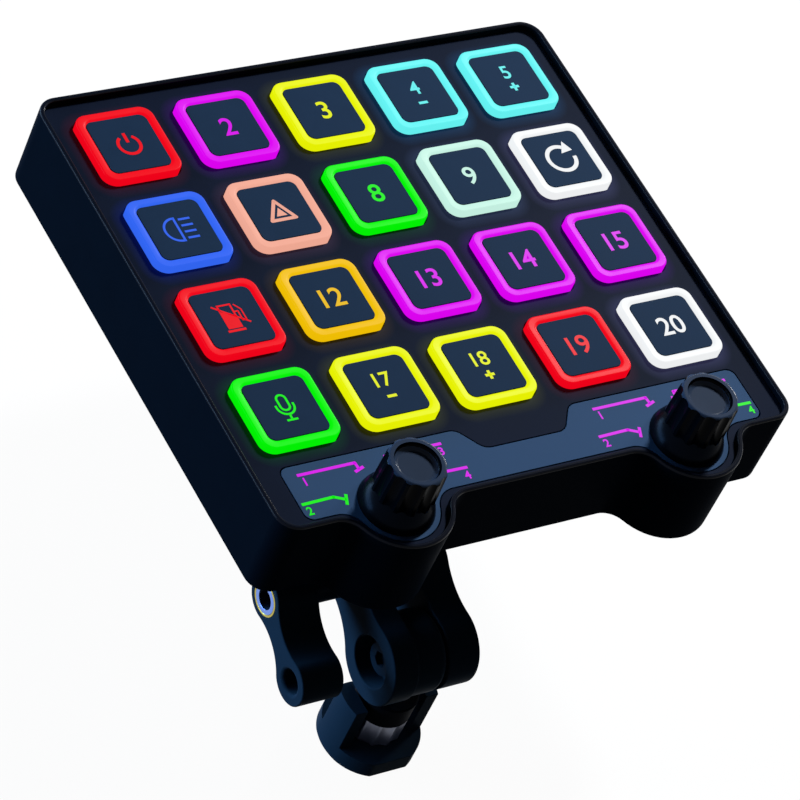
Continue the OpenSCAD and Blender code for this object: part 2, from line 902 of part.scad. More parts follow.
module plunger(side) {
    flange = rocker_height / 2 + spring_room;
    color("silver") at_knob(side) difference() {
        union() {
            translate([0, 0, plunger_low]) cylinder(h = flange - plunger_low, r = plunger_radius);
            translate([0, 0, flange]) cylinder(h = flange_height, r = flange_radius);
        }
        translate([0, 0, plunger_low - past])
            cylinder(h = flange + flange_height - plunger_low + 2 * past, r = shaft_radius + running_gap);
    }
}

module knob_shaft(side) {
    low = plunger_low - side_gap - foot_ring_height;
    color("silver") at_knob(side) translate([0, 0, low]) {
        cylinder(h = foot_ring_height, r = foot_ring);
        cylinder(h = shaft_top - low, r = shaft_radius);
    }
}

module knob(side) {
    dish_floor = dish_radius - dish_depth;
    color("#20242a") at_knob(side) difference() {
        rotate_extrude() difference() {
            union() {
                polygon([
                    [0, 0], [knob_radius + knob_rim * tan(knob_draft), 0],
                    [knob_top_radius, knob_top - knob_edge], [0, knob_top - knob_edge]
                ]);
                square([knob_top_radius - knob_edge, knob_top]);
                translate([knob_top_radius - knob_edge, knob_top - knob_edge]) circle(knob_edge);
            }
            circle(under_radius);
            translate([0, knob_top - dish_depth]) square([dish_floor, 2 * dish_depth]);
            translate([dish_floor, knob_top]) circle(dish_depth);
        }
        cylinder(h = shaft_top + shaft_end_gap, r = shaft_radius + running_gap);
        for (i = [0:knob_flutes - 1]) {
            rotate(i * 360 / knob_flutes)
                translate([knob_radius + knob_flute_radius - knob_flute_depth, 0, knob_rim])
                    rotate([0, -knob_draft, 0])
                        cylinder(h = 2 * knob_top, r = knob_flute_radius, center = true);
        }
    }
}

// A glowing cap with its guide stem, and the legend tile let into it
module button(r, c) {
    recess = tile_size + 2 * tile_gap;
    color(cap_colours[r - 1][c - 1]) at_face() key_place(r, c) {
        difference() {
            soft_top_block(cap_size, cap_corner, cap_edge, cap_depth);
            translate([0, 0, -tile_floor])
                linear_extrude(tile_floor + past) rounded_square(recess, tile_corner + tile_gap);
            translate([0, 0, -cap_depth - past])
                linear_extrude(cap_depth + past - tile_floor - cap_roof)
                    rounded_square(cap_size - 2 * cap_wall, cap_corner - cap_wall);
        }
        translate([0, 0, stem_end])
            cylinder(h = -tile_floor - cap_roof / 2 - stem_end, r = stem_r);
        translate([0, 0, -tile_thickness])
            linear_extrude(tile_thickness) rounded_square(tile_size, tile_corner);
    }
}

base_yoke();
lock_nut();
eye_hub();
left_arm();
centre_arm();
right_arm();
lower_pivot_bolt();
lower_pivot_nut();
upper_pivot_shaft();
arm_bushes();
housing();
back_cover();
faceplate();
label_panel();
circuit_board();
key_switches();
backlight_leds();
cover_screws();
back_bracket();
bracket_screws();
usb_socket();
encoder_bodies();
knob_collars();
for (side = [0, 1]) {
    tilt_ring(side);
    rocker(side);
    plunger(side);
    knob_shaft(side);
    knob(side);
}
for (r = [1:rows]) {
    for (c = [1:columns]) {
        button(r, c);
    }
}
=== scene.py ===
from math import atan2, ceil, cos, pi, radians, sin

import bmesh
import bpy
from mathutils import Color, Matrix, Vector


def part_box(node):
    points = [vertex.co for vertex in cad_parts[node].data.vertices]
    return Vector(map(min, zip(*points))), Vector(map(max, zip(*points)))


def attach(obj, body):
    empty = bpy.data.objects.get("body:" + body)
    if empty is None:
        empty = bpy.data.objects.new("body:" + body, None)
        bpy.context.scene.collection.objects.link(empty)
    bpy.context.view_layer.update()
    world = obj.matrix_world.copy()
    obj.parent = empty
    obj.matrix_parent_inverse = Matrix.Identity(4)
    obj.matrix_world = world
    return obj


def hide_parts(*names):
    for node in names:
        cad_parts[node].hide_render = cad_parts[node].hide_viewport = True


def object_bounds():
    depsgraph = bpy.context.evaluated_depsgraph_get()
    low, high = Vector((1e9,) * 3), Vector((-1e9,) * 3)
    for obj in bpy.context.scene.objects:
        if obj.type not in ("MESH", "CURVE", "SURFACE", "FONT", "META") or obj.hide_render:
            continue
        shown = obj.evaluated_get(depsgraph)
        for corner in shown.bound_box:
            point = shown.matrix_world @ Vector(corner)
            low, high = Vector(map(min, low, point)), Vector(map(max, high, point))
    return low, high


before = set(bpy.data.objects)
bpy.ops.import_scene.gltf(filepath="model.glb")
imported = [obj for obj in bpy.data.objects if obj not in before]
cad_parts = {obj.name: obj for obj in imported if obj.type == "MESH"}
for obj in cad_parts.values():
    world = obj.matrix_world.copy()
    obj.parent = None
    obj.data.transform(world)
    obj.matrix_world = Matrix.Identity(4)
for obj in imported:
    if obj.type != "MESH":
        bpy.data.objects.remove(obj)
cad_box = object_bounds()


# Base yoke: a turned aluminium foot with two milled prongs, coated satin black.
# Its edges are broken by a small round, and the coat has a fine even grain.
MM = 0.001
SAME_POINT = 1e-7
FLAT_TURN = radians(0.4)
KEEN_TURN = radians(32)
SMOOTH_TURN = radians(38)
TONE_CLOUD = 0.7
GLOSS_CLOUD = 0.6


class Shade:
    """A socket of one material's node tree. Sums written on it add Math nodes."""

    def __init__(self, tree, socket=None):
        self.tree = tree
        self.socket = socket

    def add(self, kind, settings, inputs, output=0):
        """A node of that kind: its settings first, then its sockets' values or links."""
        made = self.tree.nodes.new("ShaderNode" + kind)
        for name, value in settings.items():
            if name == "stops":
                made.color_ramp.interpolation = "CONSTANT"
                for place, tone in value[2:]:
                    made.color_ramp.elements.new(place)
                for element, (place, tone) in zip(made.color_ramp.elements, value):
                    element.position = place
                    element.color = tone
            else:
                setattr(made, name, value)
        for name, value in inputs.items():
            if isinstance(value, Shade):
                self.tree.links.new(value.socket, made.inputs[name])
            else:
                made.inputs[name].default_value = value
        return Shade(self.tree, made.outputs[output])

    def sum(self, operation, first, second):
        """A Math node on two values, of which one at least is a socket."""
        return self.add("Math", {"operation": operation}, {0: first, 1: second})

    def __add__(self, other):
        return self.sum("ADD", self, other)

    def __radd__(self, other):
        return self.sum("ADD", other, self)

    def __sub__(self, other):
        return self.sum("SUBTRACT", self, other)

    def __rsub__(self, other):
        return self.sum("SUBTRACT", other, self)

    def __mul__(self, other):
        return self.sum("MULTIPLY", self, other)

    def __rmul__(self, other):
        return self.sum("MULTIPLY", other, self)

    def vector(self, operation, *others, output=0):
        """The same for vectors: a Vector Math node on this one and the others."""
        inputs = dict(enumerate((self, *others)))
        return self.add("VectorMath", {"operation": operation}, inputs, output)

    def held(self):
        """The value held between 0 and 1."""
        return self.add("Clamp", {}, {"Value": self})

    def ranged(self, low, high):
        """A value that goes from low to high as this one goes from 0 to 1."""
        return low + (high - low) * self

    def tint(self, low, high):
        """A colour that goes from low to high as this value goes from 0 to 1."""
        return self.add("Mix", {"data_type": "RGBA"}, {0: self, 6: low, 7: high}, output=2)


def screen(red, green, blue):
    """The colour that shows on screen as these 8-bit values, as a shader takes it."""
    made = Color((red / 255, green / 255, blue / 255)).from_srgb_to_scene_linear()
    return (*made, 1.0)


def finish(name, fixed, varied):
    """A material whose shader has fixed sockets, and others that varied(place) works out."""
    material = bpy.data.materials.new(name)
    material.use_nodes = True
    tree = material.node_tree
    shader = tree.nodes["Principled BSDF"]
    for socket, value in fixed.items():
        shader.inputs[socket].default_value = value
    place = Shade(tree).add("TexCoord", {}, {}, output="Object")
    for socket, value in varied(place).items():
        tree.links.new(value.socket, shader.inputs[socket])
    return material


def noise(place, size, detail=3.0):
    """A cloudy value from 0 to 1, with lumps of that size in metres."""
    return place.add("TexNoise", {}, {"Vector": place, "Scale": 1 / size, "Detail": detail})


def bumped(height, depth):
    """A normal that follows the height, which stands up by that depth in metres."""
    return height.add("Bump", {}, {"Height": height, "Distance": depth, "Strength": 1.0})


def skin(place, low, high, gloss, grain=0.3 * MM, depth=0.01 * MM, cloud=9 * MM):
    """A moulded or coated skin: a fine grain, and slow clouds of tone and gloss."""
    fine = noise(place, grain, detail=4.0)
    slow = noise(place, cloud)
    return {
        "Base Color": (TONE_CLOUD * slow + (1 - TONE_CLOUD) * fine).tint(low, high),
        "Roughness": (GLOSS_CLOUD * slow + (1 - GLOSS_CLOUD) * fine).ranged(*gloss),
        "Normal": bumped(fine, depth),
    }


def grained(name, low, high, gloss, sheen=0.5, metal=0.0, glint=(1, 1, 1, 1), **texture):
    """A material with such a skin, its specular level and tint, and its share of metal."""
    return finish(
        name, {"Specular IOR Level": sheen, "Specular Tint": glint, "Metallic": metal},
        lambda place: skin(place, low, high, gloss, **texture),
    )


def placed(shape, name, body, materials, stands_for=()):
    """The finished bmesh as a piece that rides on its body, with smooth rounds."""
    mesh = bpy.data.meshes.new(name)
    shape.to_mesh(mesh)
    shape.free()
    for material in materials:
        mesh.materials.append(material)
    mesh.polygons.foreach_set("use_smooth", [True] * len(mesh.polygons))
    mesh.set_sharp_from_angle(angle=SMOOTH_TURN)
    piece = bpy.data.objects.new(name, mesh)
    bpy.context.scene.collection.objects.link(piece)
    even = piece.modifiers.new("even_faces", "WEIGHTED_NORMAL")
    even.keep_sharp = True
    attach(piece, body)
    if stands_for:
        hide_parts(*stands_for)


def softened(node, name, body, materials, rounds, steps=3, choose=None, bow=None):
    """A copy of a machined or moulded piece with its keen edges rounded, which stands for it.
    Each round is a radius and a test that says which keen edges it is for, choose says which
    of the materials a face has, and bow bends the copy's flats before they are rounded."""
    shape = bmesh.new()
    shape.from_mesh(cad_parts[node].data)
    bmesh.ops.remove_doubles(shape, verts=shape.verts, dist=SAME_POINT)
    bmesh.ops.dissolve_limit(shape, angle_limit=FLAT_TURN, verts=shape.verts, edges=shape.edges)
    if bow:
        bow(shape)
    for radius, wanted in rounds:
        keen = [
            edge for edge in shape.edges
            if edge.is_manifold and edge.calc_face_angle() > KEEN_TURN and wanted(edge)
        ]
        bmesh.ops.bevel(
            shape, geom=keen, offset=radius, offset_type="OFFSET", affect="EDGES",
            segments=steps, profile=0.5, material=-1, clamp_overlap=True,
        )
    if choose:
        for face in shape.faces:
            face.material_index = choose(face)
    placed(shape, name, body, materials, (node,))


def every(edge):
    """The test for a round that all of a piece's keen edges have."""
    return True


mount_coat = grained(
    "satin_black_coat", screen(25, 40, 54), screen(31, 47, 62), (0.36, 0.5), sheen=0.003,
    grain=0.25 * MM, depth=0.006 * MM,
)
YOKE_EDGE = 0.35 * MM
FLANK_STRIPS = 10
FLANK_BOW = 0.9 * MM
yoke_low, yoke_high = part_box("base_yoke")


def on_flank(vert):
    """True for a point of the yoke's left or right side face."""
    return min(vert.co.x - yoke_low.x, yoke_high.x - vert.co.x) < SAME_POINT


def turned_flanks(shape):
    """The yoke's two side faces cut into strips and bowed, as the turned foot leaves them."""
    reach = max(abs(vert.co.y) for vert in shape.verts if on_flank(vert))
    for strip in range(1, FLANK_STRIPS):
        cut = reach * (2 * strip / FLANK_STRIPS - 1)
        bmesh.ops.bisect_plane(
            shape, geom=[*shape.verts, *shape.edges, *shape.faces], dist=SAME_POINT,
            plane_co=(0, cut, 0), plane_no=(0, 1, 0),
        )
    middle = (yoke_low.x + yoke_high.x) / 2
    for vert in [vert for vert in shape.verts if on_flank(vert)]:
        out = FLANK_BOW * (1 - (vert.co.y / reach) ** 2)
        vert.co.x += out if vert.co.x > middle else -out


softened(
    "base_yoke", "yoke", "mount_base", [mount_coat], [(YOKE_EDGE, every)],
    bow=turned_flanks,
)


# Lock nut: a collar over a grip of wide flutes, turned from aluminium and run up the hub's stem
# by hand. The collar is painted near black, darker than the grip: painted shade. The grip is
# painted lighter, as painted light, and given a strong sheen.
GRIP_FLUTES = 12
FLUTE_POINTS = 8
FLUTE_DEPTH = 0.6
GRIP_TOP = 8.6
NUT_EDGE = 0.4
NUT_BORE = 4.05


def level_ring(shape, radius, height, hollow=0.0):
    """A level ring of edges in millimetres, hollowed into flutes that meet in ridges."""
    made = bmesh.ops.create_circle(
        shape, segments=GRIP_FLUTES * FLUTE_POINTS, radius=radius,
        matrix=Matrix.Translation((0, 0, height)),
    )["verts"]
    for vert in made:
        ridge = abs(sin(GRIP_FLUTES / 2 * atan2(vert.co.y, vert.co.x)))
        vert.co.xy *= 1 - hollow / radius * ridge
    return {edge for vert in made for edge in vert.link_edges}


nut_low, nut_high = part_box("lock_nut")
nut_foot = Vector(((nut_low.x + nut_high.x) / 2, (nut_low.y + nut_high.y) / 2, nut_low.z))
nut_radius = (nut_high.x - nut_low.x) / 2 / MM
nut_height = (nut_high.z - nut_low.z) / MM
nut_shape = bmesh.new()
nut_rings = [
    level_ring(nut_shape, NUT_BORE, 0.0),
    level_ring(nut_shape, nut_radius - NUT_EDGE, 0.0, FLUTE_DEPTH),
    level_ring(nut_shape, nut_radius, NUT_EDGE, FLUTE_DEPTH),
    level_ring(nut_shape, nut_radius, GRIP_TOP - NUT_EDGE, FLUTE_DEPTH),
    level_ring(nut_shape, nut_radius, GRIP_TOP),
    level_ring(nut_shape, nut_radius, nut_height - NUT_EDGE),
    level_ring(nut_shape, nut_radius - NUT_EDGE, nut_height),
    level_ring(nut_shape, NUT_BORE, nut_height),
]
for lower, upper in zip(nut_rings, nut_rings[1:] + nut_rings[:1]):
    bmesh.ops.bridge_loops(nut_shape, edges=[*lower, *upper])
bmesh.ops.recalc_face_normals(nut_shape, faces=nut_shape.faces)
# The grip's faces get the painted light, and the collar's the painted shade.
for face in nut_shape.faces:
    face.material_index = int(face.calc_center_median().z < GRIP_TOP)
nut_shape.transform(Matrix.Translation(nut_foot) @ Matrix.Scale(MM, 4))
# The collar's near black is painted shade, and the grip's lighter tone is painted light.
nut_collar_painted_shade = grained(
    "painted_shade_nut_collar", screen(6, 9, 14), screen(10, 13, 19), (0.4, 0.54), sheen=0.003,
    grain=0.25 * MM, depth=0.006 * MM,
)
nut_grip_painted_light = grained(
    "painted_light_nut_grip", screen(78, 86, 112), screen(104, 112, 138), (0.24, 0.36), sheen=1.0,
    metal=0.3, grain=0.4 * MM, depth=0.004 * MM, cloud=4 * MM,
)
placed(
    nut_shape, "swivel_lock_nut", "lock_nut", [nut_collar_painted_shade, nut_grip_painted_light],
    ("lock_nut",),
)


# Eye hub: a round eye on a stem, turned from aluminium in one piece and coated as the yoke is,
# with a large round on its right edge. The lower pivot bolt runs through it.
HUB_EDGE = 0.3 * MM
softened("eye_hub", "pivot_hub", "swivel", [mount_coat], [(HUB_EDGE, every)])


# Arms: three waisted links milled from plate and coated black, with the edges broken.
# The left one has an open foot hole, and the other two have deep counterbores.
LINK_EDGE = 0.4 * MM
WAIST_FILL = 1.0 * MM
WAIST_START, WAIST_SHARE = 0.25, 0.7
WAIST_UNDERSIDE = 6.0 * MM
shaft_low, shaft_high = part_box("upper_pivot_shaft")
bolt_low, bolt_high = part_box("lower_pivot_bolt")


def fuller_waist(shape):
    """The right link's underside between its two eyes, a little fuller than the others'."""
    foot = (bolt_low + bolt_high) / 2
    along = (shaft_low + shaft_high) / 2 - foot
    along.x = 0
    under = Vector((0, along.z, -along.y)).normalized()
    for vert in shape.verts:
        share = ((vert.co - foot).dot(along) / along.length_squared - WAIST_START) / WAIST_SHARE
        if 0 < share < 1 and (vert.co - foot).dot(under) > WAIST_UNDERSIDE:
            vert.co += WAIST_FILL * sin(pi * share) ** 2 * under


for node, name, bow in (
    ("left_arm", "link_left", None), ("centre_arm", "link_centre", None),
    ("right_arm", "link_right", fuller_waist),
):
    softened(node, name, "arm", [mount_coat], [(LINK_EDGE, every)], bow=bow)


# Pivots: a blackened bolt and nut below, a hollow shaft above that is black along its middle and
# bright at its two ends, and brass bushes in the arms. The metal is turned, so its grain runs in
# rings round the axis.
PIVOT_EDGE = 0.12 * MM
SHAFT_END = 0.2 * MM
RING_SCALE = 9000.0
RING_CLOUD = 3 * MM
RING_TONE = 0.6
RING_DEPTH = 0.002 * MM


def ringed(name, low, high, gloss, centre, **fixed):
    """Turned metal: fine rings round an axis along X."""
    def varied(place):
        inward = place.add(
            "Mapping", {}, {"Vector": place, "Location": [-c for c in centre], "Scale": (0, 1, 1)}
        )
        far = inward.vector("LENGTH", output="Value")
        rings = place.add(
            "TexNoise", {"noise_dimensions": "1D"}, {"W": far, "Scale": RING_SCALE, "Detail": 2.0}
        )
        slow = noise(place, RING_CLOUD)
        return {
            "Base Color": (RING_TONE * rings + (1 - RING_TONE) * slow).tint(low, high),
            "Roughness": rings.ranged(*gloss),
            "Normal": bumped(rings, RING_DEPTH),
        }
    return finish(name, {socket.replace("_", " "): v for socket, v in fixed.items()}, varied)


shaft_steel = ringed(
    "bright_end_steel", screen(96, 128, 205), screen(128, 160, 235), (0.2, 0.34),
    (shaft_low + shaft_high) / 2, Metallic=1.0,
)
bush_brass = ringed(
    "turned_brass", screen(150, 140, 60), screen(205, 190, 105), (0.22, 0.4),
    (shaft_low + shaft_high) / 2, Metallic=1.0,
)
black_steel = ringed(
    "black_oxide_steel", screen(20, 33, 47), screen(27, 43, 58), (0.3, 0.45),
    (bolt_low + bolt_high) / 2, Specular_IOR_Level=0.008,
)
for node, name, coat, slot in (
    ("lower_pivot_bolt", "pivot_bolt", black_steel, "black_steel"),
    ("lower_pivot_nut", "pivot_nut", black_steel, "black_steel"),
    ("arm_bushes", "pivot_bushes", bush_brass, "brass"),
):
    softened(node, name, "arm", [coat], [(PIVOT_EDGE, every)], steps=2)


def at_shaft_end(face):
    """The second finish for the bright rings at the shaft's two ends."""
    middle = face.calc_center_median().x
    return int(min(middle - shaft_low.x, shaft_high.x - middle) < SHAFT_END)


softened(
    "upper_pivot_shaft", "pivot_shaft", "arm", [black_steel, shaft_steel],
    [(PIVOT_EDGE, every)], steps=2, choose=at_shaft_end,
)


# Back bracket: a machined plate with one lug, coated as the arms are, with wide rounds at its
# foot. Four blackened socket screws hold it to the back cover.
BRACKET_EDGE = 0.4 * MM
SCREW_EDGE = 0.12 * MM
BRACKET_CORNER = 4 * MM
BRACKET_FOOT_ROUND = 11 * MM
bracket_low, bracket_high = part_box("back_bracket")


def rounded_foot(shape):
    """The plate's two lower corners opened out to a wider round."""
    middle = (bracket_low.x + bracket_high.x) / 2
    half = (bracket_high.x - bracket_low.x) / 2
    grow = BRACKET_FOOT_ROUND / BRACKET_CORNER
    for vert in shape.verts:
        across = abs(vert.co.x - middle) - half + BRACKET_CORNER
        up = vert.co.y - bracket_low.y - BRACKET_CORNER
        if across > -SAME_POINT and up < SAME_POINT:
            side = 1 if vert.co.x > middle else -1
            vert.co.x = middle + side * (half - BRACKET_FOOT_ROUND + grow * across)
            vert.co.y = bracket_low.y + BRACKET_FOOT_ROUND + grow * up


softened(
    "back_bracket", "case_bracket", "case", [mount_coat], [(BRACKET_EDGE, every)],
    bow=rounded_foot,
)
softened(
    "bracket_screws", "bracket_bolts", "case", [black_steel],
    [(SCREW_EDGE, every)], steps=2,
)


# Housing: a moulded black plastic frame, open at both faces, with two round bulges for the
# knobs. Its rim has a soft top, its back edge a larger round, and its skin a fine spark texture.
case_low, case_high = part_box("housing")
case_plastic = grained(
    "textured_black_plastic", screen(6, 12, 20), screen(9, 16, 25), (0.42, 0.58), sheen=0.001,
    grain=0.22 * MM, depth=0.012 * MM,
)
# The rim's top and the rounds beside it are painted lighter than the walls of the same moulding:
# painted light on its top.
rim_top_painted_light = grained(
    "satin_rim_painted_light", screen(10, 14, 24), screen(14, 19, 31), (0.3, 0.4), sheen=0.003,
    grain=0.22 * MM, depth=0.006 * MM,
)
rim_round_painted_light = grained(
    "polished_rim_painted_light", screen(10, 14, 24), screen(14, 19, 31), (0.18, 0.26), sheen=0.05,
    grain=0.22 * MM, depth=0.002 * MM,
)
HOUSING_EDGE = 0.15 * MM
RIM_ROUND = 0.55 * MM
RIM_DEPTH = 1.5 * RIM_ROUND
RIM_FLAT = 0.97
BACK_ROUND = 0.6 * MM
STEEP = 0.5


def is_outer(edge):
    """True for an edge of the outer walls: the wall that meets it faces away from the middle."""
    middle = (case_low + case_high) / 2
    out = (edge.verts[0].co + edge.verts[1].co) / 2 - middle
    walls = [face for face in edge.link_faces if abs(face.normal.z) < STEEP]
    return any(face.normal.dot(out) > 0 for face in walls)


def at_back(edge):
    """True for an edge where the outer walls meet the back."""
    level = all(vert.co.z < case_low.z + SAME_POINT for vert in edge.verts)
    return level and min(face.normal.z for face in edge.link_faces) < -STEEP and is_outer(edge)


def at_rim(edge):
    """True for an edge of the rim's top."""
    return all(vert.co.z > case_high.z - SAME_POINT for vert in edge.verts)


def on_rim(face):
    """The second finish for the rim's flat top and the third for the rounds beside it, both
    painted lighter.
    """
    if min(vert.co.z for vert in face.verts) < case_high.z - RIM_DEPTH:
        return 0
    return 1 if face.normal.z > RIM_FLAT else 2


softened(
    "housing", "case_frame", "case", [case_plastic, rim_top_painted_light, rim_round_painted_light],
    [(BACK_ROUND, at_back), (RIM_ROUND, at_rim), (HOUSING_EDGE, every)], steps=4, choose=on_rim,
)


# Back cover: a flat plate moulded in the housing's plastic and let into its back.
# Six sunk screws of blackened steel hold it.
COVER_EDGE = 0.25 * MM
softened("back_cover", "case_back", "case", [case_plastic], [(COVER_EDGE, every)])
softened(
    "cover_screws", "back_screws", "case", [black_steel], [(SCREW_EDGE, every)],
    steps=2,
)


# Inner works: a resin board, plastic key switches, small lamps, and a socket and encoder parts of
# pressed metal. The case closes them in, apart from the socket's mouth in the top wall.
SOCKET_EDGE = 0.06 * MM
board_green = grained(
    "solder_mask", screen(12, 60, 34), screen(26, 92, 52), (0.3, 0.45),
    grain=0.5 * MM, depth=0.008 * MM, cloud=3 * MM,
)
switch_plastic = grained(
    "switch_plastic", screen(18, 18, 20), screen(34, 34, 38), (0.4, 0.55)
)
lamp_resin = grained(
    "lamp_resin", screen(222, 220, 206), screen(250, 248, 236), (0.2, 0.35), cloud=1 * MM
)
pressed_metal = grained(
    "pressed_metal", screen(132, 138, 146), screen(176, 182, 190), (0.28, 0.42),
    metal=1.0, grain=0.15 * MM, depth=0.002 * MM,
)
inner_finish = {
    "circuit_board": board_green,
    "key_switches": switch_plastic,
    "backlight_leds": lamp_resin,
    "encoder_bodies": pressed_metal,
}
for side in ("left", "right"):
    for part in ("tilt_ring", "rocker", "plunger", "knob_shaft"):
        inner_finish[f"{part}_{side}"] = pressed_metal
for node, coat in inner_finish.items():
    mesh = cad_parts[node].data
    mesh.materials.clear()
    mesh.materials.append(coat)
softened(
    "usb_socket", "inlet_socket", "case", [pressed_metal], [(SOCKET_EDGE, every)],
    steps=2,
)


# Faceplate: a moulded black plate that drops into the rim, with a hole for each key and knob.
# Each key's colour is painted round it as a glow that the plate's own skin gives off: a painted
# pool of light.
PLATE_EDGE = 0.2 * MM
KEY_PITCH = 30.0
KEY_ROWS, KEY_COLUMNS = 4, 5
CAP_SIZE = 23.0
CAP_CORNER = 3.7
# The painted glow round the keys: its reach, its offset and its share of each key's colour.
PAINTED_GLOW_REACH = 3.6
PAINTED_GLOW_SHIFT = Vector((-0.8, -0.8))
PAINTED_GLOW_TINT = (0.022, 0.021, 0.056)
CELL_MIDDLE = (0.5, 0.5, 0)
ring_tones = {
    "red": screen(251, 4, 28), "magenta": screen(230, 5, 250), "yellow": screen(242, 252, 4),
    "cyan": screen(106, 252, 251), "blue": screen(53, 106, 251), "salmon": screen(250, 177, 155),
    "green": screen(4, 252, 5), "mint": screen(206, 251, 235), "white": screen(250, 252, 253),
    "amber": screen(250, 199, 6),
}
key_tones = (
    ("red", "magenta", "yellow", "cyan", "cyan"),
    ("blue", "salmon", "green", "mint", "white"),
    ("red", "amber", "magenta", "magenta", "magenta"),
    ("green", "yellow", "yellow", "red", "white"),
)
first_low, first_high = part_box("button_1_1")


def leaked_light(place):
    """A painted pool of light round each key: its colour, less with the way from its side."""
    pitch = KEY_PITCH * MM
    first = (first_low + first_high) / 2
    start = (
        0.5 - (first.x + PAINTED_GLOW_SHIFT.x * MM) / pitch, 0.5 + (first.y + PAINTED_GLOW_SHIFT.y * MM) / pitch, 0
    )
    grid = place.add(
        "Mapping", {}, {"Vector": place, "Location": start, "Scale": (1 / pitch, -1 / pitch, 0)}
    )
    cell = grid.vector("FLOOR").vector("MAXIMUM", (0, 0, 0))
    cell = cell.vector("MINIMUM", (KEY_COLUMNS - 1, KEY_ROWS - 1, 0))
    inside = grid.vector("SUBTRACT", cell).vector("SUBTRACT", CELL_MIDDLE).vector("ABSOLUTE")
    straight = CAP_SIZE / 2 - CAP_CORNER
    past = inside.vector("MULTIPLY_ADD", (KEY_PITCH, KEY_PITCH, 0), (-straight, -straight, 0))
    way = past.vector("MAXIMUM", (0, 0, 0)).vector("LENGTH", output="Value") - CAP_CORNER
    column = place.add("SeparateXYZ", {}, {0: cell}, output="X")
    row = place.add("SeparateXYZ", {}, {0: cell}, output="Y")
    count = KEY_ROWS * KEY_COLUMNS
    stops = [
        (key / count, (*(a * b for a, b in zip(ring_tones[tone], PAINTED_GLOW_TINT)), 1.0))
        for key, tone in enumerate(tone for tones in key_tones for tone in tones)
    ]
    tone = place.add(
        "ValToRGB", {"stops": stops}, {"Fac": (column + KEY_COLUMNS * row + 0.5) * (1 / count)}
    )
    return (1 - way * (1 / PAINTED_GLOW_REACH)).held().tint((0, 0, 0, 1), tone)


def lit_skin(place):
    """The plate's satin skin, giving off the painted glow of the keys round them."""
    made = skin(
        place, screen(16, 24, 41), screen(21, 30, 49), (0.34, 0.46), grain=0.35 * MM,
        depth=0.008 * MM, cloud=14 * MM,
    )
    # Painted light: the plate gives off each key's colour round it.
    return {**made, "Emission Color": leaked_light(place)}


face_plastic = finish(
    "satin_black_plastic", {"Specular IOR Level": 0.003, "Emission Strength": 1.0}, lit_skin
)
softened(
    "faceplate", "key_plate", "case", [face_plastic], [(PLATE_EDGE, every)], steps=2
)


# Label panel: a slate film-faced plate let into the faceplate round both knobs.
# Leader lines with cross bars point at each knob's four ways, printed in glowing ink:
# their points are in millimetres from the knob's axis.
PANEL_EDGE = 0.15 * MM
panel_film = grained(
    "slate_film", screen(48, 73, 106), screen(54, 80, 113), (0.4, 0.52), sheen=0.004,
    grain=0.2 * MM, depth=0.004 * MM, cloud=20 * MM,
)
softened(
    "label_panel", "label_plate", "case", [panel_film], [(PANEL_EDGE, every)],
    steps=2,
)

PRINT_RAISE = 0.04 * MM
INK_GLOW, INK_DIM = 0.85, 0.85
GLOW_CLOUD = 2.5 * MM
GLOW_LEAST = 0.35
GLOW_GRAIN = 0.3 * MM
GLOW_GRAIN_DEPTH = 0.004 * MM
GLOW_GLOSS = (0.3, 0.42)
UNLIT_SHARE = 0.06
LEADER_WIDTH = 0.85
BEND_POINTS = 16
KNOB_WAYS = ((-1, 1), (-1, -1), (1, 1), (1, -1))
LEADER_HIGH = ((21.45, 14.36), (4.48, 14.36), (4.3, 12.23))
BAR_HIGH = ((5.78, 11.71), (2.78, 12.71))
LEADER_LOW = ((24.6, 5.8), (15.28, 6.0), (12.28, 4.46))
BAR_LOW = ((11.68, 6.0), (12.88, 2.91))
WAY_NUMBER_HEIGHT = 2.5
WAY_NUMBER_WEIGHT = 0.02
WAY_NUMBER_INWARD = 1.2
WAY_NUMBER_DROP = 1.0


def bar(shape, start, end, width):
    """A straight printed stroke, as a flat face."""
    start, end = Vector((*start, 0)), Vector((*end, 0))
    along = end - start
    turn = Matrix.Rotation(atan2(along.y, along.x), 4, "Z")
    size = Matrix.Diagonal((along.length, width, 1, 1))
    bmesh.ops.create_grid(
        shape, x_segments=1, y_segments=1, size=0.5,
        matrix=Matrix.Translation((start + end) / 2) @ turn @ size,
    )


def route(shape, points, width):
    """Strokes from point to point, with a round dot at each bend."""
    for start, end in zip(points, points[1:]):
        bar(shape, start, end, width)
    for point in points[1:-1]:
        bmesh.ops.create_circle(
            shape, cap_ends=True, segments=BEND_POINTS, radius=width / 2,
            matrix=Matrix.Translation((*point, 0)),
        )


def number(shape, digits, centre, height, weight):
    """A plain number as flat faces, as tall as height, about its centre."""
    curve = bpy.data.curves.new("number", "FONT")
    curve.body = digits
    curve.offset = weight
    writer = bpy.data.objects.new("number", curve)
    mesh = bpy.data.meshes.new_from_object(writer)
    fresh = bmesh.new()
    fresh.from_mesh(mesh)
    low = Vector([min(v.co[i] for v in fresh.verts) for i in range(3)])
    high = Vector([max(v.co[i] for v in fresh.verts) for i in range(3)])
    grow = height / (high.y - low.y)
    fresh.transform(
        Matrix.Translation((*centre, 0)) @ Matrix.Scale(grow, 4)
        @ Matrix.Translation(-(low + high) / 2)
    )
    fresh.to_mesh(mesh)
    fresh.free()
    shape.from_mesh(mesh)
    bpy.data.objects.remove(writer)
    bpy.data.curves.remove(curve)
    bpy.data.meshes.remove(mesh)


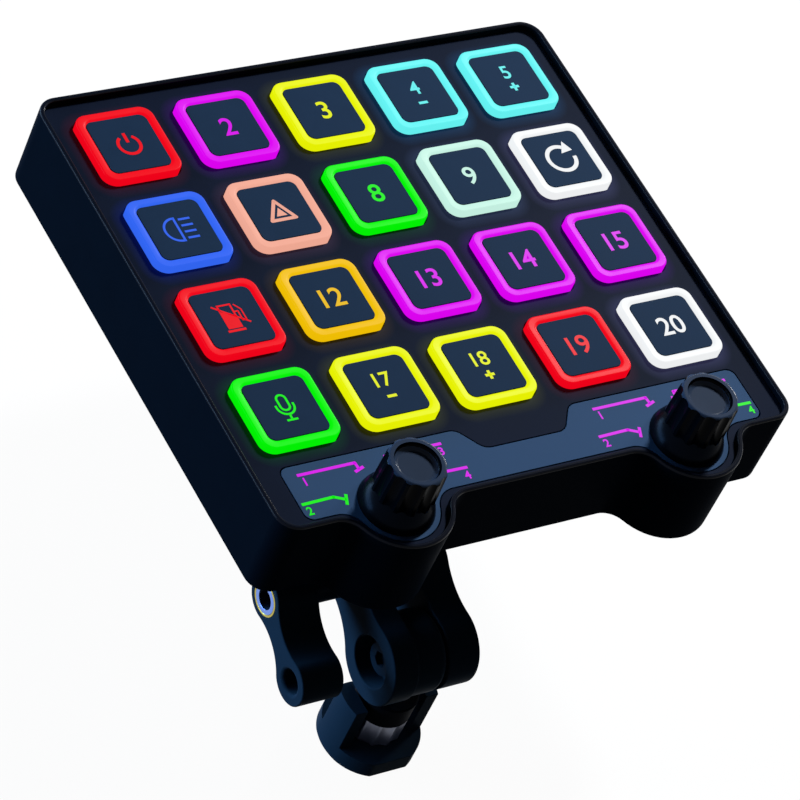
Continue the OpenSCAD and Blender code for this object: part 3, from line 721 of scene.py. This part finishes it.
def printed(shape, name, body, ink, place):
    """Flat strokes in millimetres as thin raised ink on the surface at place."""
    flat = list(shape.faces)
    raised = bmesh.ops.extrude_face_region(shape, geom=flat)["geom"]
    top = [part for part in raised if isinstance(part, bmesh.types.BMVert)]
    bmesh.ops.translate(shape, verts=top, vec=(0, 0, 2 * PRINT_RAISE / MM))
    bmesh.ops.recalc_face_normals(shape, faces=shape.faces)
    shape.transform(Matrix.Translation(place - Vector((0, 0, PRINT_RAISE))) @ Matrix.Scale(MM, 4))
    placed(shape, name, body, [ink])


def glowing(name, tone, strength, dim):
    """Translucent plastic or ink lit from below, dimmer in its clouds."""
    def varied(place):
        cloud = noise(place, GLOW_CLOUD)
        fine = noise(place, GLOW_GRAIN)
        dark = (*(dim * part for part in tone[:3]), 1.0)
        return {
            "Emission Color": cloud.ranged(GLOW_LEAST, 1.0).held().tint(dark, tone),
            "Roughness": fine.ranged(*GLOW_GLOSS),
            "Normal": bumped(fine, GLOW_GRAIN_DEPTH),
        }
    base = (*(UNLIT_SHARE * part for part in tone[:3]), 1.0)
    fixed = {"Base Color": base, "Emission Strength": strength, "Specular IOR Level": 0.02}
    return finish(name, fixed, varied)


ring_inks = {
    tone: glowing(f"{tone}_ink", colour, INK_GLOW, INK_DIM) for tone, colour in ring_tones.items()
}
panel_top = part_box("label_panel")[1].z
green_ways = {("left", 1), ("right", 3)}
for side in ("left", "right"):
    knob_low, knob_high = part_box(f"knob_{side}")
    knob_place = (knob_low + knob_high) / 2
    knob_place.z = panel_top
    for way, (across, up) in enumerate(KNOB_WAYS):
        ink = "green" if (side, way) in green_ways else "magenta"
        leader, cross = (LEADER_HIGH, BAR_HIGH) if up > 0 else (LEADER_LOW, BAR_LOW)
        shape = bmesh.new()
        route(shape, [(across * x, y) for x, y in leader], LEADER_WIDTH)
        route(shape, [(across * x, y) for x, y in cross], LEADER_WIDTH)
        end_x, end_y = leader[0]
        label = (
            across * (end_x - WAY_NUMBER_INWARD), end_y - WAY_NUMBER_DROP - WAY_NUMBER_HEIGHT / 2
        )
        number(shape, str(way + 1), label, WAY_NUMBER_HEIGHT, WAY_NUMBER_WEIGHT)
        printed(
            shape, f"leader_{side}_{way + 1}", "case", ring_inks[ink], knob_place
        )


# Knob collars: a dome of polished black plastic round each knob's foot, pressed into the
# faceplate. The knob's hollow foot passes over it when the knob tilts.
COLLAR_EDGE = 0.12 * MM
# Its blue specular tint is a painted blue cast on its reflections.
collar_gloss = grained(
    "polished_black_plastic", screen(3, 5, 9), screen(6, 8, 13), (0.2, 0.28), sheen=0.03,
    glint=(0.4, 0.6, 1.0, 1.0), grain=0.6 * MM, depth=0.001 * MM,
)
softened(
    "knob_collars", "collar_domes", "case", [collar_gloss], [(COLLAR_EDGE, every)],
    steps=2,
)


# Knobs: moulded black plastic caps with a dished satin top and a polished fluted grip. The top,
# the dish and their rounds are painted a lighter slate than the grip: painted light on the faces
# that point up.
# They are pushed onto steel shafts.
KNOB_EDGE = 0.2 * MM
grip_gloss = grained(
    "polished_knob_plastic", screen(3, 5, 9), screen(6, 8, 13), (0.12, 0.22), sheen=0.011,
    grain=0.3 * MM, depth=0.002 * MM,
)
# The top's painted light: a lighter slate than the black grip, on the faces that point up.
dish_painted_light = grained(
    "satin_knob_plastic", screen(34, 48, 70), screen(39, 55, 78), (0.3, 0.42), sheen=0.006,
    grain=0.3 * MM, depth=0.003 * MM,
)
dish_round_painted_light = grained(
    "half_gloss_knob_plastic", screen(34, 48, 70), screen(39, 55, 78), (0.18, 0.28), sheen=0.04,
    grain=0.3 * MM, depth=0.002 * MM,
)
TOP_FLAT = 0.985
TOP_ROUND = 0.6


def on_top(face):
    """The second finish for a knob's flat top and dish floor and the third for their rounds, both
    painted lighter.
    """
    if face.normal.z > TOP_FLAT:
        return 1
    return 2 if face.normal.z > TOP_ROUND else 0


for side in ("left", "right"):
    softened(
        f"knob_{side}", f"grip_{side}", f"knob_{side}", [grip_gloss, dish_painted_light, dish_round_painted_light],
        [(KNOB_EDGE, every)], steps=2, choose=on_top,
    )


# Keys: translucent caps that glow in one colour each, hollow below, with a guide stem.
# A dark slate tile is let into each top, and its legend is printed in the same colour:
# the key's number, over a minus or a plus on four keys, or a plain sign on six others.
CAP_SHOULDER = 0.5
CAP_CROWN = ((0.0, 0.3), (0.35, 0.12), (0.8, 0.03))
CAP_DEPTH = 7.0
CAP_WALL = 1.6
CAP_ROOF = 1.6
TILE_SIZE = 18.1
TILE_CORNER = 2.2
TILE_THICKNESS = 1.4
TILE_GAP = 0.1
TILE_SINK = 0.25
TILE_EDGE = 0.15
STEM_RADIUS = 2.5
STEM_SIDES = 32
CORNER_STEPS = 8
SHOULDER_STEPS = 5
CAP_GLOW, CAP_DIM = 0.9, 0.93
ARC_STEP = 7
NUMBER_HEIGHT = 6.0
NUMBER_WEIGHT = 0.012
SMALL_NUMBER = 0.75
SMALL_NUMBER_RISE = 2.2
MARK_WIDTH = 0.85
MARK_REACH = 1.4
MARK_HEIGHT = -3.2


def rounded_square(shape, size, corner, height):
    """A flat square face with round corners at that height."""
    quad = bmesh.ops.create_grid(
        shape, x_segments=1, y_segments=1, size=size / 2, matrix=Matrix.Translation((0, 0, height))
    )["verts"]
    made = bmesh.ops.bevel(
        shape, geom=quad, offset=corner, offset_type="OFFSET", affect="VERTICES",
        segments=CORNER_STEPS, profile=0.5, material=-1,
    )
    return made["verts"][0].link_faces[0]


def walled(shape, levels):
    """A closed solid through square levels of size, corner and height, flat at both ends."""
    faces = [rounded_square(shape, *level) for level in levels]
    for low, high in zip(faces, faces[1:]):
        bmesh.ops.bridge_loops(shape, edges=[*low.edges, *high.edges])
    bmesh.ops.delete(shape, geom=faces[1:-1], context="FACES_ONLY")
    bmesh.ops.recalc_face_normals(shape, faces=shape.faces)


def key_cap(stem_end):
    """The glowing cap in millimetres from the middle of its top, down to its stem's end."""
    floor_depth = TILE_THICKNESS + TILE_GAP
    recess, recess_corner = TILE_SIZE + 2 * TILE_GAP, TILE_CORNER + TILE_GAP
    levels = [(recess, recess_corner, -floor_depth)]
    for out, drop in CAP_CROWN:
        levels.append((recess + 2 * out, recess_corner + out, -drop))
    for step in range(SHOULDER_STEPS + 1):
        turn = pi / 2 * (1 - step / SHOULDER_STEPS)
        inset = CAP_SHOULDER * (1 - cos(turn))
        levels.append((CAP_SIZE - 2 * inset, CAP_CORNER - inset, CAP_SHOULDER * (sin(turn) - 1)))
    hollow = CAP_SIZE - 2 * CAP_WALL, CAP_CORNER - CAP_WALL
    levels.append((CAP_SIZE, CAP_CORNER, -CAP_DEPTH))
    levels.append((*hollow, -CAP_DEPTH))
    levels.append((*hollow, -floor_depth - CAP_ROOF))
    shape = bmesh.new()
    walled(shape, levels)
    root = -floor_depth - CAP_ROOF / 2
    bmesh.ops.create_cone(
        shape, cap_ends=True, segments=STEM_SIDES, radius1=STEM_RADIUS, radius2=STEM_RADIUS,
        depth=root - stem_end, matrix=Matrix.Translation((0, 0, (root + stem_end) / 2)),
    )
    return shape


def key_tile():
    """The dark tile in millimetres from the middle of its cap's top, with its edge broken."""
    shape = bmesh.new()
    walled(shape, [
        (TILE_SIZE, TILE_CORNER, -TILE_THICKNESS),
        (TILE_SIZE, TILE_CORNER, -TILE_SINK - TILE_EDGE),
        (TILE_SIZE - 2 * TILE_EDGE, TILE_CORNER - TILE_EDGE, -TILE_SINK),
    ])
    return shape


def arc(shape, centre, radius, start, sweep, width):
    """A round printed stroke of less than full circle, as flat faces; angles are in degrees."""
    ray = Vector((cos(radians(start)), sin(radians(start)), 0))
    middle = Vector((*centre, 0))
    ends = [shape.verts.new(middle + ray * (radius + side * width / 2)) for side in (-1, 1)]
    edge = shape.edges.new(ends)
    bmesh.ops.spin(
        shape, geom=[*ends, edge], cent=middle, axis=(0, 0, 1), angle=radians(sweep),
        steps=ceil(sweep / ARC_STEP),
    )


def patch(shape, points):
    """A printed area with those corners, in millimetres about the tile's middle."""
    shape.faces.new([shape.verts.new((*point, 0)) for point in points])


def power_sign(shape):
    """A ring that is open at the top, with a stroke in the opening."""
    stroke = 0.9
    arc(shape, (0, -0.4), 3.1, 125, 290, stroke)
    bar(shape, (0, 0.4), (0, 3.6), stroke)


def headlamp_sign(shape):
    """A lamp's half round, with four level beams."""
    stroke, reach, beam_top, beam_step = 0.66, 3.75, 3.1, 2.07
    arc(shape, (-0.5, 0), reach, 90, 180, stroke)
    for side in (1, -1):
        bar(shape, (-0.5, side * reach), (-0.2, side * reach), stroke)
    bar(shape, (-0.2, -reach - stroke / 2), (-0.2, reach + stroke / 2), stroke)
    for beam in range(4):
        height = beam_top - beam_step * beam
        bar(shape, (1.0, height), (4.4, height), stroke)


def hazard_sign(shape):
    """A triangle in a triangle."""
    stroke = 1.0
    route(shape, [(0, -2.9), (3.65, -2.9), (0, 3.4), (-3.65, -2.9), (0, -2.9)], stroke)
    patch(shape, [(-1.6, -1.7), (1.6, -1.7), (0, 1.05)])


def turning_sign(shape):
    """An arrow that turns nearly full circle."""
    stroke = 1.2
    arc(shape, (0, 0), 4.2, 62, 300, stroke)
    patch(shape, [(0.95, 1.7), (4.7, 2.3), (3.1, 5.7)])


def no_fuel_sign(shape):
    """A fuel pump with its hose, struck out."""
    frame_stroke, foot_stroke, hose_stroke = 0.5, 0.7, 0.4
    patch(shape, [(-2.7, -3.5), (1.5, -3.5), (1.5, 0.3), (-2.7, 2.4)])
    bar(shape, (-2.7, 4.1), (1.5, 4.1), frame_stroke)
    bar(shape, (-2.45, 2.4), (-2.45, 4.1), frame_stroke)
    bar(shape, (1.25, 0.3), (1.25, 4.1), frame_stroke)
    bar(shape, (-3.2, -4.2), (2.0, -4.2), foot_stroke)
    hose = [(1.5, 1.6), (2.5, 1.6), (2.5, -1.4), (3.6, -1.4), (3.6, 2.0), (2.2, 3.9)]
    route(shape, hose, hose_stroke)
    bar(shape, (-4.2, 4.2), (4.4, -2.4), frame_stroke)


def microphone_sign(shape):
    """A long round capsule in a cradle, on a foot."""
    stroke, capsule, cradle = 0.62, 1.3, 2.5
    arc(shape, (0, 2.7), capsule, 0, 180, stroke)
    arc(shape, (0, 0.5), capsule, 180, 180, stroke)
    for side in (-1, 1):
        bar(shape, (side * capsule, 0.5), (side * capsule, 2.7), stroke)
        bar(shape, (side * cradle, 0.4), (side * cradle, 1.1), stroke)
    arc(shape, (0, 0.4), cradle, 180, 180, stroke)
    bar(shape, (0, -2.2), (0, -3.7), stroke)
    bar(shape, (-1.6, -3.9), (1.6, -3.9), stroke)


def marked(digits, mark):
    """A legend of a number, over a minus or a plus where the key has one."""
    def legend(shape):
        if not mark:
            number(shape, digits, (0, 0), NUMBER_HEIGHT, NUMBER_WEIGHT)
            return
        small = SMALL_NUMBER * NUMBER_HEIGHT
        number(shape, digits, (0, SMALL_NUMBER_RISE), small, NUMBER_WEIGHT)
        bar(shape, (-MARK_REACH, MARK_HEIGHT), (MARK_REACH, MARK_HEIGHT), MARK_WIDTH)
        if mark == "+":
            low, high = MARK_HEIGHT - MARK_REACH, MARK_HEIGHT + MARK_REACH
            bar(shape, (0, low), (0, high), MARK_WIDTH)
    return legend


tile_film = grained(
    "slate_tile", screen(27, 45, 67), screen(32, 51, 75), (0.36, 0.5), sheen=0.0025,
    grain=0.25 * MM, depth=0.005 * MM, cloud=7 * MM,
)
ring_plastics = {
    tone: glowing(f"{tone}_cap", colour, CAP_GLOW, CAP_DIM) for tone, colour in ring_tones.items()
}
key_signs = {
    (1, 1): power_sign, (2, 1): headlamp_sign, (2, 2): hazard_sign, (2, 5): turning_sign,
    (3, 1): no_fuel_sign, (4, 1): microphone_sign,
    (1, 4): marked("4", "-"), (1, 5): marked("5", "+"),
    (4, 2): marked("17", "-"), (4, 3): marked("18", "+"),
}
for row, tones in enumerate(key_tones, 1):
    for column, tone in enumerate(tones, 1):
        spot = f"{row}_{column}"
        key_low, key_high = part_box(f"button_{spot}")
        top = (key_low + key_high) / 2
        top.z = key_high.z
        seat = Matrix.Translation(top) @ Matrix.Scale(MM, 4)
        cap = key_cap((key_low.z - key_high.z) / MM)
        cap.transform(seat)
        placed(
            cap, f"cap_{spot}", f"button_{spot}", [ring_plastics[tone]],
            (f"button_{spot}",),
        )
        tile = key_tile()
        tile.transform(seat)
        placed(
            tile, f"tile_{spot}", f"button_{spot}", [tile_film], (f"button_{spot}",)
        )
        count = KEY_COLUMNS * (row - 1) + column
        legend = key_signs.get((row, column), marked(str(count), ""))
        shape = bmesh.new()
        legend(shape)
        printed(
            shape, f"legend_{spot}", f"button_{spot}", ring_inks[tone],
            top - Vector((0, 0, TILE_SINK * MM)),
        )


# Studio: a plain white floor and world, a soft box from the upper right, a low blue one from
# the left and a low white one from the right, and the camera at the photograph's angle.
FLOOR_SIZE = 6.0
FLOOR_DROP = 0.2 * MM
FLOOR_GREY = (0.07, 0.07, 0.07, 1)
WHITE = (1, 1, 1, 1)
SHADOW_SHARE = 0.04
SKY_LIGHT = 0.02
floor_shape = bmesh.new()
bmesh.ops.create_grid(
    floor_shape, x_segments=1, y_segments=1, size=FLOOR_SIZE / 2,
    matrix=Matrix.Translation((0, 0, cad_box[0].z - FLOOR_DROP)),
)
floor_mesh = bpy.data.meshes.new("floor")
floor_shape.to_mesh(floor_mesh)
floor_shape.free()
floor = bpy.data.objects.new("floor", floor_mesh)
bpy.context.scene.collection.objects.link(floor)


def looked_at(shade):
    """1 for a ray from the camera, a gloss or a clear piece, and 0 for the rays that light."""
    camera_ray, glossy_ray, clear_ray = [
        shade.add("LightPath", {}, {}, output=kind)
        for kind in ("Is Camera Ray", "Is Glossy Ray", "Is Transmission Ray")
    ]
    return (camera_ray + glossy_ray + clear_ray).held()


floor_paint = bpy.data.materials.new("floor_white")
floor_paint.use_nodes = True
floor_mesh.materials.append(floor_paint)
tree = floor_paint.node_tree
tree.nodes.clear()
paint = Shade(tree)
plain = paint.add("BsdfDiffuse", {}, {"Color": FLOOR_GREY})
pale = paint.add("BsdfDiffuse", {}, {"Color": WHITE})
white = paint.add("Emission", {}, {"Color": WHITE, "Strength": 1.0})
shadowed = paint.add("MixShader", {}, {"Fac": SHADOW_SHARE, 1: white, 2: pale})
surface = paint.add("MixShader", {}, {"Fac": looked_at(paint), 1: plain, 2: shadowed})
output = tree.nodes.new("ShaderNodeOutputMaterial")
tree.links.new(surface.socket, output.inputs["Surface"])

world = bpy.data.worlds.new("studio")
bpy.context.scene.world = world
world.use_nodes = True
tree = world.node_tree
tree.nodes.clear()
sky = Shade(tree)
level = looked_at(sky).ranged(SKY_LIGHT, 1.0)
backdrop = sky.add("Background", {}, {"Color": WHITE, "Strength": level})
output = tree.nodes.new("ShaderNodeOutputWorld")
tree.links.new(backdrop.socket, output.inputs["Surface"])

middle = (cad_box[0] + cad_box[1]) / 2
for name, place, width, height, power, tone in (
    ("key_box", (0.66, 0.46, 0.62), 0.14, 0.14, 13.3, (1.0, 1.0, 1.0)),
    ("left_box", (-0.74, 0.68, 0.05), 1.3, 0.4, 31.0, (0.35, 0.65, 1.0)),
    ("rim_box", (0.92, 0.35, 0.22), 0.14, 0.14, 5.0, (1.0, 1.0, 1.0)),
):
    lamp = bpy.data.lights.new(name, "AREA")
    lamp.shape = "RECTANGLE"
    lamp.size = width
    lamp.size_y = height
    lamp.energy = power
    lamp.color = tone
    box = bpy.data.objects.new(name, lamp)
    box.location = middle + Vector(place)
    box.rotation_mode = "QUATERNION"
    box.rotation_quaternion = (-Vector(place)).to_track_quat("-Z", "Y")
    bpy.context.scene.collection.objects.link(box)

lens = bpy.data.cameras.new("camera")
lens.lens = 195.35
lens.sensor_width = 36.0
lens.clip_start = 0.05
lens.clip_end = 20.0
camera = bpy.data.objects.new("camera", lens)
right = Vector((0.8291, -0.4614, 0.3158))
up = Vector((0.1794, 0.7545, 0.6313))
back = -Vector((0.5295, 0.4668, -0.7083))
turned = Matrix((right, up, back)).transposed()
stand = Vector((-573.85, -464.80, 855.94)) * MM
camera.matrix_world = Matrix.Translation(stand) @ turned.to_4x4()
bpy.context.scene.collection.objects.link(camera)
bpy.context.scene.camera = camera
bpy.context.scene.view_settings.view_transform = "Standard"
